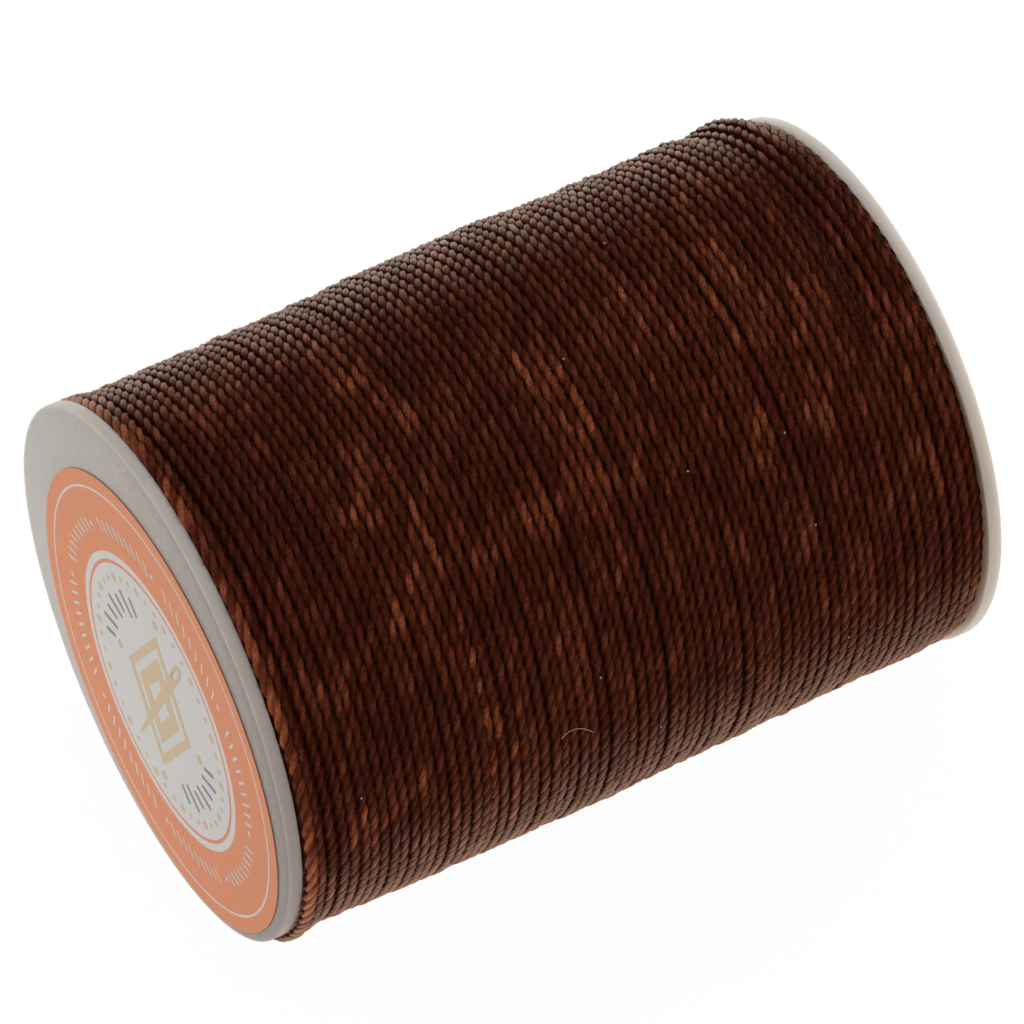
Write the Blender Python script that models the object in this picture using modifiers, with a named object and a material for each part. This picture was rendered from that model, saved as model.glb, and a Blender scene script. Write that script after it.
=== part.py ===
"""A spool of waxed thread, lying on its side.

Frame: metres, +Z up. The spool's axis lies along X, the end with the label faces -X and
the two flanges rest on the plane z = 0. The origin is on that plane, below the middle of
the spool's length.

The spool is a barrel with a flange pushed into each of its ends. The inner layers of
thread are one plain body, and the outermost layer is wound over it as one unbroken tube.
"""

import math

import bmesh
import bpy
import numpy as np

MM = 0.001

# Overall size: outer face of the label to outer face of the rear flange.
SPOOL_LENGTH = 43.8 * MM

# Flanges: a thin disc with a rounded rim and a spigot that plugs into the barrel.
FLANGE_DIAMETER = 31.0 * MM
FLANGE_THICKNESS = 0.8 * MM
FLANGE_OUTER_FILLET = 0.35 * MM
FLANGE_INNER_FILLET = 0.15 * MM
SPIGOT_LENGTH = 3.0 * MM
SPIGOT_WALL = 1.2 * MM

# Barrel: the tube that carries the thread.
BARREL_DIAMETER = 13.0 * MM
BARREL_WALL = 1.0 * MM

# Label: a paper disc glued to the front flange, low and to one side of its centre.
LABEL_DIAMETER = 26.9 * MM
LABEL_THICKNESS = 0.12 * MM
LABEL_DROP = 1.45 * MM
LABEL_SIDE_SHIFT = 0.70 * MM
LABEL_GLUE_LINE = 0.05 * MM

# Thread: the outer layer is drawn with fewer and thicker turns than it really has, each
# one standing for about three real turns, so that a gap is left between neighbours.
OUTER_TURNS = 24
OUTER_TURN_GAP = 0.45 * MM
WINDING_PROUD_ON_TOP = 0.35 * MM
WINDING_CLEAR_OF_REST = 0.03 * MM

# Gap between two pieces that touch or plug together.
FIT_CLEARANCE = 0.3 * MM

# Fineness of the round shapes.
ROUND_STEPS = 64
FILLET_STEPS = 3
POINTS_PER_TURN = 24

FLANGE_RADIUS = FLANGE_DIAMETER / 2
BARREL_RADIUS = BARREL_DIAMETER / 2
BARREL_BORE_RADIUS = BARREL_RADIUS - BARREL_WALL
SPIGOT_RADIUS = BARREL_BORE_RADIUS - FIT_CLEARANCE
SPINDLE_BORE_RADIUS = SPIGOT_RADIUS - SPIGOT_WALL

# Stations along the axis, measured from the middle of the spool towards the rear.
LABEL_FACE = -SPOOL_LENGTH / 2
FRONT_FACE = LABEL_FACE + LABEL_THICKNESS + LABEL_GLUE_LINE
REAR_FACE = SPOOL_LENGTH / 2
FRONT_FLANGE_BACK = FRONT_FACE + FLANGE_THICKNESS
REAR_FLANGE_BACK = REAR_FACE - FLANGE_THICKNESS
CORE_START = FRONT_FLANGE_BACK + FIT_CLEARANCE
CORE_END = REAR_FLANGE_BACK - FIT_CLEARANCE

# Each round piece is turned half a facet, so that a flat facet points straight down.
HALF_FACET = math.pi / ROUND_STEPS
AXIS_HEIGHT = FLANGE_RADIUS * math.cos(HALF_FACET)

# The winding stands proud of the flanges on top and just clears the surface below, so its
# own axis lies a little above the spool's axis.
WINDING_TOP = FLANGE_RADIUS + WINDING_PROUD_ON_TOP
WINDING_UNDERSIDE = AXIS_HEIGHT - WINDING_CLEAR_OF_REST
WINDING_RADIUS = (WINDING_TOP + WINDING_UNDERSIDE) / 2
WINDING_LIFT = (WINDING_TOP - WINDING_UNDERSIDE) / 2

# The turns, with a gap between each two, fill the width between the flanges.
TURN_PITCH = (CORE_END - CORE_START + OUTER_TURN_GAP) / (OUTER_TURNS + 1)
TURN_DIAMETER = TURN_PITCH - OUTER_TURN_GAP
TURN_PATH_RADIUS = WINDING_RADIUS - TURN_DIAMETER / 2

# The core reaches up to the inner side of the turns, where their straight chords come
# closest to the axis, and its bore clears the barrel in spite of the lift.
CHORD_SHARE = math.cos(math.pi / POINTS_PER_TURN)
CORE_RADIUS = TURN_PATH_RADIUS * CHORD_SHARE - TURN_DIAMETER / 2 - FIT_CLEARANCE
CORE_BORE_RADIUS = BARREL_RADIUS + FIT_CLEARANCE + WINDING_LIFT


def clear_scene():
    """Remove every object of the scene that is open."""
    for obj in list(bpy.data.objects):
        bpy.data.objects.remove(obj, do_unlink=True)


def new_collection(name):
    """Return an empty collection, linked to the scene."""
    collection = bpy.data.collections.new(name)
    bpy.context.scene.collection.children.link(collection)
    return collection


def linear(channel):
    """Return the linear value of one sRGB channel given as 0 to 255."""
    value = channel / 255
    if value <= 0.04045:
        return value / 12.92
    return ((value + 0.055) / 1.055) ** 2.4


def new_material(name, srgb, roughness, subsurface=0.0, coat=0.0):
    """Return a Principled material of one plain colour, given as sRGB 0 to 255."""
    material = bpy.data.materials.new(name)
    material.use_nodes = True
    shader = material.node_tree.nodes["Principled BSDF"]
    shader.inputs["Base Color"].default_value = (*(linear(channel) for channel in srgb), 1.0)
    shader.inputs["Roughness"].default_value = roughness
    shader.inputs["Metallic"].default_value = 0.0
    shader.inputs["Subsurface Weight"].default_value = subsurface
    shader.inputs["Coat Weight"].default_value = coat
    return material


def add_piece(name, data, material, collection, parent):
    """Link an object for the piece, with its material, under the empty of the spool's axis."""
    piece = bpy.data.objects.new(name, data)
    if not data.materials:
        data.materials.append(material)
    collection.objects.link(piece)
    piece.parent = parent
    return piece


def add_axis_empty(collection):
    """Return the empty whose local +Z is the spool's axis, pointing to the rear flange."""
    axis = bpy.data.objects.new("spool_axis", None)
    axis.location = (0.0, 0.0, AXIS_HEIGHT)
    axis.rotation_euler = (0.0, math.pi / 2, 0.0)
    collection.objects.link(axis)
    return axis


def fillet(centre_radius, centre_height, size, start_angle, end_angle):
    """Return the points of an arc in the (radius, height) plane, both ends included."""
    points = []
    for step in range(FILLET_STEPS + 1):
        angle = start_angle + (end_angle - start_angle) * step / FILLET_STEPS
        radius = centre_radius + size * math.cos(angle)
        height = centre_height + size * math.sin(angle)
        points.append((radius, height))
    return points


def profile_mesh(name, outline):
    """Return a mesh of the closed outline, in the XZ plane at +X, with no faces."""
    mesh = bpy.data.meshes.new(name)
    shape = bmesh.new()
    verts = [shape.verts.new((radius, 0.0, height)) for radius, height in outline]
    for index, vert in enumerate(verts):
        shape.edges.new((vert, verts[(index + 1) % len(verts)]))
    shape.to_mesh(mesh)
    shape.free()
    return mesh


def turn_on_axis(piece):
    """Sweep the profile of a piece once round its local Z axis."""
    screw = piece.modifiers.new("turned", "SCREW")
    screw.axis = "Z"
    screw.angle = 2 * math.pi
    screw.screw_offset = 0.0
    screw.steps = ROUND_STEPS
    screw.render_steps = ROUND_STEPS
    screw.use_merge_vertices = True
    screw.merge_threshold = 0.00001
    screw.use_smooth_shade = True


def flange_outline():
    """Return the flange's outline, outer face at height 0 and spigot pointing up."""
    outer = FLANGE_OUTER_FILLET
    inner = FLANGE_INNER_FILLET
    spigot_end = FLANGE_THICKNESS + SPIGOT_LENGTH
    outline = [(SPIGOT_RADIUS, spigot_end), (SPIGOT_RADIUS, FLANGE_THICKNESS)]
    outline += fillet(FLANGE_RADIUS - inner, FLANGE_THICKNESS - inner, inner, math.pi / 2, 0.0)
    outline += fillet(FLANGE_RADIUS - outer, outer, outer, 0.0, -math.pi / 2)
    outline += [(SPINDLE_BORE_RADIUS, 0.0), (SPINDLE_BORE_RADIUS, spigot_end)]
    return outline


def ring_outline(outer_radius, inner_radius, start, end):
    """Return the outline of a plain tube between two heights."""
    return [(outer_radius, end), (outer_radius, start), (inner_radius, start), (inner_radius, end)]


def build_flanges(collection, axis):
    """Add the two flanges, which are one moulding used twice, facing opposite ways."""
    plastic = new_material("frosted_plastic", (176, 170, 162), 0.42, subsurface=0.3)
    mesh = profile_mesh("flange", flange_outline())
    front = add_piece("front_flange", mesh, plastic, collection, axis)
    front.location = (0.0, 0.0, FRONT_FACE)
    front.rotation_euler = (0.0, 0.0, HALF_FACET)
    rear = add_piece("rear_flange", mesh, plastic, collection, axis)
    rear.location = (0.0, 0.0, REAR_FACE)
    rear.rotation_euler = (math.pi, 0.0, HALF_FACET)
    turn_on_axis(front)
    turn_on_axis(rear)


def build_barrel(collection, axis):
    """Add the barrel, a tube that ends just short of both flanges."""
    plastic = new_material("barrel_plastic", (188, 183, 176), 0.45, subsurface=0.2)
    outline = ring_outline(BARREL_RADIUS, BARREL_BORE_RADIUS, CORE_START, CORE_END)
    barrel = add_piece("spool_barrel", profile_mesh("barrel", outline), plastic, collection, axis)
    barrel.rotation_euler = (0.0, 0.0, HALF_FACET)
    turn_on_axis(barrel)


def build_label(collection, axis):
    """Add the label, a thin disc that closes the front end of the spindle bore."""
    paper = new_material("printed_paper", (207, 140, 108), 0.6)
    mesh = bpy.data.meshes.new("label")
    shape = bmesh.new()
    bmesh.ops.create_cone(
        shape,
        cap_ends=True,
        segments=ROUND_STEPS,
        radius1=LABEL_DIAMETER / 2,
        radius2=LABEL_DIAMETER / 2,
        depth=LABEL_THICKNESS,
    )
    shape.to_mesh(mesh)
    shape.free()
    label = add_piece("front_label", mesh, paper, collection, axis)
    label.location = (LABEL_DROP, -LABEL_SIDE_SHIFT, LABEL_FACE + LABEL_THICKNESS / 2)


def build_inner_layers(collection, axis):
    """Add the thread under the outermost layer, as one plain body round the barrel."""
    thread = new_material("inner_thread", (40, 18, 10), 0.6)
    outline = ring_outline(CORE_RADIUS, CORE_BORE_RADIUS, CORE_START, CORE_END)
    core = add_piece("inner_windings", profile_mesh("core", outline), thread, collection, axis)
    core.location = (-WINDING_LIFT, 0.0, 0.0)
    core.rotation_euler = (0.0, 0.0, HALF_FACET)
    turn_on_axis(core)


def winding_points():
    """Return the centre line of the outer layer, in the axes of the spool's empty.

    The line is a helix that starts and stops on the side away from the label's shift. Each
    end runs on along its tangent for one diameter of the tube.
    """
    steps = np.arange(OUTER_TURNS * POINTS_PER_TURN + 1)
    angle = 2 * np.pi * steps / POINTS_PER_TURN + np.pi / 2
    across = TURN_PATH_RADIUS * np.cos(angle)
    side = TURN_PATH_RADIUS * np.sin(angle)
    along = CORE_START + TURN_DIAMETER / 2 + TURN_PITCH * steps / POINTS_PER_TURN
    helix = np.stack([across, side, along], axis=1)
    start_run = np.array([np.sin(angle[0]), -np.cos(angle[0]), 0.0]) * TURN_DIAMETER
    end_run = np.array([-np.sin(angle[-1]), np.cos(angle[-1]), 0.0]) * TURN_DIAMETER
    return np.vstack([helix[0] + start_run, helix, helix[-1] + end_run])


def least_gap_between_turns(points):
    """Return the least gap between two stretches of the tube that are half a turn apart or more."""
    least = math.inf
    for index in range(len(points)):
        others = points[index + POINTS_PER_TURN // 2 :]
        if len(others) > 1:
            starts = others[:-1]
            runs = others[1:] - starts
            offsets = points[index] - starts
            share = np.clip((offsets * runs).sum(axis=1) / (runs * runs).sum(axis=1), 0.0, 1.0)
            nearest = np.linalg.norm(offsets - share[:, None] * runs, axis=1).min()
            least = min(least, nearest - TURN_DIAMETER)
    return least


def build_outer_layer(collection, axis):
    """Add the outermost layer of thread, one unbroken tube wound over the inner layers."""
    thread = new_material("waxed_thread", (72, 34, 20), 0.45, coat=0.3)
    points = winding_points()
    curve = bpy.data.curves.new("outer_windings", "CURVE")
    curve.dimensions = "3D"
    curve.bevel_depth = TURN_DIAMETER / 2
    curve.bevel_resolution = 1
    curve.use_fill_caps = True
    spline = curve.splines.new("POLY")
    spline.points.add(len(points) - 1)
    for target, point in zip(spline.points, points):
        target.co = (*point, 1.0)
    turns = add_piece("outer_windings", curve, thread, collection, axis)
    turns.location = (-WINDING_LIFT, 0.0, 0.0)
    gap = least_gap_between_turns(points)
    print(f"outer layer: {OUTER_TURNS} turns, least gap between turns {gap / MM:.3f} mm")


def main():
    """Build the whole spool."""
    clear_scene()
    collection = new_collection("waxed_thread_spool")
    axis = add_axis_empty(collection)
    build_barrel(collection, axis)
    build_flanges(collection, axis)
    build_label(collection, axis)
    build_inner_layers(collection, axis)
    build_outer_layer(collection, axis)


main()
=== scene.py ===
"""Looks of a spool of waxed thread: frosted flanges, a paper label and the wound thread.

The spool lies on its side along X with the label facing -X. Every piece is built in
metres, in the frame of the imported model, and its sizes come from that model's boxes.
"""

from __future__ import annotations

import logging
import math
from collections.abc import Callable
from dataclasses import dataclass
from enum import Enum
from functools import cache

import bmesh
import bpy
import numpy as np
from mathutils import Matrix, Vector


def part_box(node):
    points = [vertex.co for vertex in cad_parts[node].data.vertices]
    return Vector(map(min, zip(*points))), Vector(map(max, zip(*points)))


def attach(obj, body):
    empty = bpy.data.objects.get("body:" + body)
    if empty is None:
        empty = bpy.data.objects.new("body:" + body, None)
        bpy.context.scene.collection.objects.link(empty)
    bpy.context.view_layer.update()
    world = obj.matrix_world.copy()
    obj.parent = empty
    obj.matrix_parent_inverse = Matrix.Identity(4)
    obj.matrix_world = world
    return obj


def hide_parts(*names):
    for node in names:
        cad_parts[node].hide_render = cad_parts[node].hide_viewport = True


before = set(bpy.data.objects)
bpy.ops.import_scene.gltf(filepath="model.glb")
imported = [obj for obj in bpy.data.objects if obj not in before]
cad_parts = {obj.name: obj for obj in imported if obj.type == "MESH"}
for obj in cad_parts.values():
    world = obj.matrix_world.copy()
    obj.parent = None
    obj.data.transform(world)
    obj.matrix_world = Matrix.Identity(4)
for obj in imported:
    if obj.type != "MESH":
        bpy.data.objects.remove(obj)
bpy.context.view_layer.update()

MM = 0.001
TINY = 1e-6
BODY = "root"

log = logging.getLogger("thread_spool")

Colour = tuple[float, float, float]
WHITE: Colour = (1.0, 1.0, 1.0)


def from_srgb(*channels: float) -> Colour:
    """Turn an sRGB colour of 0 to 255 into linear values.

    Args:
        *channels: The red, green and blue channels.

    Returns:
        The three linear channels.
    """
    red, green, blue = (
        share / 12.92 if share <= 0.04045 else ((share + 0.055) / 1.055) ** 2.4
        for share in (channel / 255 for channel in channels)
    )
    return red, green, blue


def ease(share: np.ndarray) -> np.ndarray:
    """Ease a share of 0 to 1 in and out."""
    return share * share * (3 - 2 * share)


def polar(radius: float, angle: float) -> tuple[float, float]:
    """Return the place at a radius and an angle in radians."""
    return radius * math.cos(angle), radius * math.sin(angle)


class Side(Enum):
    """The two ends of the spool, with the way that each one's outer face points."""

    FRONT = -1
    REAR = 1


@dataclass(frozen=True)
class SpoolFrame:
    """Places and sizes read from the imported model, and the sizes that pieces share."""

    axis_height: float
    flange_radius: float
    label_face: float
    rear_face: float
    label_radius: float
    label_side: float
    label_height: float
    barrel_radius: float
    flange_thickness: float = 0.8 * MM
    label_seat: float = 0.06 * MM
    barrel_wall: float = 1.0 * MM
    fit_gap: float = 0.3 * MM
    spigot_length: float = 3.0 * MM
    spigot_wall: float = 1.2 * MM

    @classmethod
    def measure(cls) -> SpoolFrame:
        """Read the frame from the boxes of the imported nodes.

        Returns:
            The filled frame.
        """
        flange_low, flange_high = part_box("front_flange")
        _, rear_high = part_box("rear_flange")
        label_low, label_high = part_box("front_label")
        barrel_low, barrel_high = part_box("spool_barrel")
        return cls(
            axis_height=(flange_low.z + flange_high.z) / 2,
            flange_radius=(flange_high.z - flange_low.z) / 2,
            label_face=label_low.x,
            rear_face=rear_high.x,
            label_radius=(label_high.z - label_low.z) / 2,
            label_side=(label_high.y + label_low.y) / 2,
            label_height=(label_high.z + label_low.z) / 2,
            barrel_radius=(barrel_high.z - barrel_low.z) / 2,
        )

    @property
    def front_face(self) -> float:
        """The outer face of the front flange, under the label."""
        return self.label_face + self.label_seat

    @property
    def front_inner(self) -> float:
        """The inner face of the front flange."""
        return self.front_face + self.flange_thickness

    @property
    def rear_inner(self) -> float:
        """The inner face of the rear flange."""
        return self.rear_face - self.flange_thickness

    @property
    def spigot_radius(self) -> float:
        """The outer radius of the spigots, which plug into the barrel."""
        return self.barrel_radius - self.barrel_wall - self.fit_gap

    def bench(self, side: Side, offset: float, across: float = 0.0, up: float = 0.0) -> Matrix:
        """Return the matrix from the bench, where a piece faces +Z, to an end of the spool.

        Args:
            side: The end that the piece belongs to.
            offset: The place along X of the bench's plane z = 0.
            across: The place along Y of the bench's origin.
            up: The height of the bench's origin above the spool's axis.

        Returns:
            The matrix for the mesh's points.
        """
        facing = float(side.value)
        turn = Matrix(((0.0, 0.0, facing), (facing, 0.0, 0.0), (0.0, 1.0, 0.0)))
        return Matrix.Translation((offset, across, self.axis_height + up)) @ turn.to_4x4()


SPOOL = SpoolFrame.measure()
MIDDLE = Vector((0.0, 0.0, SPOOL.axis_height))
TO_AXIS = (0.0, 0.0, -SPOOL.axis_height)
ACROSS_AXIS = (0.0, 1.0, 1.0)


# Finishes ---------------------------------------------------------------------------------


class NodeSheet:
    """Adds and links the nodes of one material, world or node group."""

    def __init__(self, tree: bpy.types.NodeTree) -> None:
        """Take the tree that the nodes go into."""
        self.tree = tree

    def add(self, kind: str, inputs: dict | None = None, **settings: object) -> bpy.types.Node:
        """Add a node.

        Args:
            kind: The node's type name.
            inputs: What its sockets are fed, by name or number.
            **settings: Properties to set, such as operation.

        Returns:
            The node.
        """
        node = self.tree.nodes.new(kind)
        for name, value in settings.items():
            setattr(node, name, value)
        self.feed(node, inputs or {})
        return node

    def feed(self, node: bpy.types.Node, inputs: dict) -> None:
        """Link a node's sockets, or set their own values.

        Args:
            node: The node.
            inputs: A socket, a number or a tuple for each input's name or number.
        """
        for key, value in inputs.items():
            target = node.inputs[key]
            if isinstance(value, bpy.types.NodeSocket):
                self.tree.links.new(value, target)
            else:
                target.default_value = (*value, 1.0) if target.type == "RGBA" else value

    def maths(self, operation: str, *values: object) -> bpy.types.NodeSocket:
        """Add a Math node and return its result."""
        return self.add("ShaderNodeMath", dict(enumerate(values)), operation=operation).outputs[0]

    def vector(self, operation: str, *values: object) -> bpy.types.NodeSocket:
        """Add a Vector Math node and return its result, a number for a length or a dot."""
        node = self.add("ShaderNodeVectorMath", dict(enumerate(values)), operation=operation)
        return node.outputs["Value" if operation in ("LENGTH", "DOT_PRODUCT") else "Vector"]

    def scale(self, vector: object, factor: object) -> bpy.types.NodeSocket:
        """Scale a vector or a colour and return the result."""
        inputs = {0: vector, "Scale": factor}
        return self.add("ShaderNodeVectorMath", inputs, operation="SCALE").outputs[0]

    def mapping(self, vector: object, move: object = (0, 0, 0), scale: object = (1, 1, 1)):
        """Scale and move a vector and return the result."""
        inputs = {"Vector": vector, "Location": move, "Scale": scale}
        return self.add("ShaderNodeMapping", inputs).outputs["Vector"]

    def mix(self, factor: object, first: object, second: object) -> bpy.types.NodeSocket:
        """Add a colour mix and return its result."""
        inputs = {0: factor, 6: first, 7: second}
        return self.add("ShaderNodeMix", inputs, data_type="RGBA").outputs[2]

    def noise(self, vector: object, scale: object, detail: float = 2.0) -> bpy.types.NodeSocket:
        """Add a noise texture and return its factor."""
        inputs = {"Vector": vector, "Scale": scale, "Detail": detail}
        return self.add("ShaderNodeTexNoise", inputs).outputs["Fac"]

    def remap(self, value: object, low: float, high: float, to_low: float, to_high: float):
        """Map a value from one range to another, held within the second range."""
        names = ("Value", "From Min", "From Max", "To Min", "To Max")
        inputs = dict(zip(names, (value, low, high, to_low, to_high)))
        return self.add("ShaderNodeMapRange", inputs).outputs["Result"]

    def bump(self, height: object, strength: float, distance: float) -> bpy.types.NodeSocket:
        """Add a bump node and return its normal."""
        inputs = {"Height": height, "Strength": strength, "Distance": distance}
        return self.add("ShaderNodeBump", inputs).outputs["Normal"]

    def group(self, tree: bpy.types.NodeTree, **inputs: object) -> bpy.types.NodeSocket:
        """Add a node group, feed its named inputs and return its one result."""
        return self.add("ShaderNodeGroup", inputs, node_tree=tree).outputs[0]

    def place(self) -> bpy.types.NodeSocket:
        """Return the place in the object's own coordinates."""
        return self.add("ShaderNodeTexCoord").outputs["Object"]

    def split(self, vector: object) -> bpy.types.NodeOutputs:
        """Return a vector's parts, by the names X, Y and Z."""
        return self.add("ShaderNodeSeparateXYZ", {0: vector}).outputs

    def seen(self) -> bpy.types.NodeSocket:
        """Return 1 for what the camera sees directly and 0 for all other light."""
        return self.add("ShaderNodeLightPath").outputs["Is Camera Ray"]


def new_group(name: str, result: str, kind: str, **inputs: str):
    """Start a node group with one output.

    Args:
        name: The group's name.
        result: The output's name.
        kind: The output's kind, Color or Float.
        **inputs: The kind of each input.

    Returns:
        The group, a sheet for its nodes, its inputs as sockets and its output node.
    """
    tree = bpy.data.node_groups.new(name, "ShaderNodeTree")
    for label, socket in inputs.items():
        tree.interface.new_socket(label, in_out="INPUT", socket_type="NodeSocket" + socket)
    tree.interface.new_socket(result, in_out="OUTPUT", socket_type="NodeSocket" + kind)
    sheet = NodeSheet(tree)
    return tree, sheet, sheet.add("NodeGroupInput").outputs, sheet.add("NodeGroupOutput")


@cache
def mottle() -> bpy.types.NodeTree:
    """Build the shared group that shifts a colour lighter and darker in soft clouds.

    Returns:
        The group. Its inputs are Colour, Scale and Amount, and its output is Colour.
    """
    kinds = {"Colour": "Color", "Scale": "Float", "Amount": "Float"}
    tree, sheet, inputs, output = new_group("mottle", "Colour", "Color", **kinds)
    cloud = sheet.noise(sheet.place(), inputs["Scale"], 4.0)
    swing = sheet.maths("MULTIPLY", sheet.maths("SUBTRACT", cloud, 0.5), inputs["Amount"])
    gain = sheet.maths("ADD", swing, 1.0)
    sheet.feed(output, {"Colour": sheet.scale(inputs["Colour"], gain)})
    return tree


@cache
def fine_grain() -> bpy.types.NodeTree:
    """Build the shared group that gives a fine matt grain as a height.

    Returns:
        The group. Its inputs are Fine and Coarse, two scales, and its output is Height.
    """
    kinds = {"Fine": "Float", "Coarse": "Float"}
    tree, sheet, inputs, output = new_group("fine_grain", "Height", "Float", **kinds)
    place = sheet.place()
    both = sheet.maths("ADD", *(sheet.noise(place, inputs[name], 3.0) for name in kinds))
    sheet.feed(output, {"Height": sheet.maths("MULTIPLY", both, 0.5)})
    return tree


def new_material(name: str) -> tuple[bpy.types.Material, NodeSheet, bpy.types.Node]:
    """Start a material.

    Args:
        name: The material's name.

    Returns:
        The material, a sheet for its nodes and its Principled shader.
    """
    material = bpy.data.materials.new(name)
    material.use_nodes = True
    sheet = NodeSheet(material.node_tree)
    return material, sheet, material.node_tree.nodes["Principled BSDF"]


@dataclass(frozen=True)
class FrostedPlastic:
    """Pale moulded plastic with a satin skin that lets a little light through.

    Painted shade: the face runs from its colour to the painted shade tint along the light's
    way, and the shaded side falls darker towards the rim. Painted light on the rim's side:
    it runs from the painted low rim shade below up to the rim's colour on top. A painted
    shade also darkens the corner where the front face meets the rim.
    """

    name: str
    colour: Colour
    # The second colour, the fall and the low rim colour paint shade; the rim colour paints light on
    # the rim's top.
    painted_shade_tint: Colour
    rim: Colour = from_srgb(208, 206, 205)
    painted_low_rim_shade: Colour = from_srgb(112, 111, 112)
    band_shade: float = 0.94
    band_scale: float = 620.0
    fall: float = 0.82
    fall_from: float = 1.2 * MM
    fall_to: float = 0.4 * MM
    edge_from: float = 0.14 * MM
    edge_to: float = 0.02 * MM
    front_shade: float = 0.87
    front_start: float = 0.1 * MM
    front_width: float = 0.4 * MM
    subsurface: float = 0.85
    depth: float = 1.2 * MM
    light_way: tuple[float, float, float] = (0.0, 0.94, -0.34)

    def build(self) -> bpy.types.Material:
        """Return the material, with painted shade across the face and up the rim's side, and turned
        bands.
        """
        material, sheet, shader = new_material(self.name)
        place = sheet.place()
        centre = sheet.mapping(place, TO_AXIS)
        part = sheet.split(centre)
        radius = sheet.vector("LENGTH", sheet.mapping(place, TO_AXIS, ACROSS_AXIS))
        reach = SPOOL.flange_radius
        # Painted shade: the face darkens along the light's way to the painted shade tint, which
        # falls darker still towards the rim.
        along_light = sheet.vector("DOT_PRODUCT", centre, self.light_way)
        lit = sheet.remap(along_light, -reach, reach, 0.0, 1.0)
        outer = sheet.remap(radius, reach - self.fall_from, reach - self.fall_to, 1.0, self.fall)
        face = sheet.mix(lit, sheet.scale(self.painted_shade_tint, outer), self.colour)
        # Painted light and shade on the rim's side: dark low down, light on top.
        high = sheet.remap(part["Z"], -reach, reach, 0.0, 1.0)
        edge = sheet.remap(radius, reach - self.edge_from, reach - self.edge_to, 0.0, 1.0)
        tinted = sheet.mix(edge, face, sheet.mix(high, self.painted_low_rim_shade, self.rim))
        bands = sheet.add("ShaderNodeCombineXYZ", {"X": radius}).outputs[0]
        rings = sheet.noise(bands, self.band_scale, 3.0)
        turned = sheet.remap(rings, 0.35, 0.65, self.band_shade, 1.0)
        # Painted shade in the corner where the front face turns into the rim.
        near = SPOOL.front_face + self.front_start
        dip = sheet.remap(part["X"], near, near + self.front_width, self.front_shade - 1.0, 0.0)
        shade = sheet.maths("MULTIPLY", turned, sheet.maths("MULTIPLY_ADD", edge, dip, 1.0))
        shaded = sheet.scale(tinted, shade)
        specks = sheet.noise(place, 2600.0)
        grain = sheet.group(fine_grain(), Fine=9000.0, Coarse=1200.0)
        inputs = {
            "Base Color": sheet.group(mottle(), Colour=shaded, Scale=160.0, Amount=0.10),
            "Roughness": sheet.remap(specks, 0.3, 0.7, 0.36, 0.5),
            "Normal": sheet.bump(grain, 0.25, 0.02 * MM),
            "Subsurface Weight": self.subsurface,
            "Subsurface Radius": (1.0, 0.85, 0.7),
            "Subsurface Scale": self.depth,
            "IOR": 1.49,
            "Specular IOR Level": 0.35,
        }
        sheet.feed(shader, inputs)
        return material


@dataclass(frozen=True)
class MattFinish:
    """A matt skin with soft clouds and a fine grain: paper, ink, dust or shaded thread."""

    name: str
    colour: Colour
    roughness: float = 0.55
    roughness_swing: float = 0.06
    mottling: float = 0.10
    fine: float = 14000.0
    coarse: float = 3500.0
    grain_span: float = 0.15
    bump: float = 0.2
    bump_depth: float = 0.01 * MM
    specular: float = 0.5

    def build(self) -> bpy.types.Material:
        """Return the material, whose roughness and bump follow the same grain."""
        material, sheet, shader = new_material(self.name)
        height = sheet.group(fine_grain(), Fine=self.fine, Coarse=self.coarse)
        span = (0.5 - self.grain_span, 0.5 + self.grain_span)
        rough = (self.roughness - self.roughness_swing, self.roughness + self.roughness_swing)
        clouds = {"Colour": self.colour, "Scale": 900.0, "Amount": self.mottling}
        inputs = {
            "Base Color": sheet.group(mottle(), **clouds),
            "Roughness": sheet.remap(height, *span, *rough),
            "Normal": sheet.bump(height, self.bump, self.bump_depth),
            "Specular IOR Level": self.specular,
        }
        sheet.feed(shader, inputs)
        return material


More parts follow.
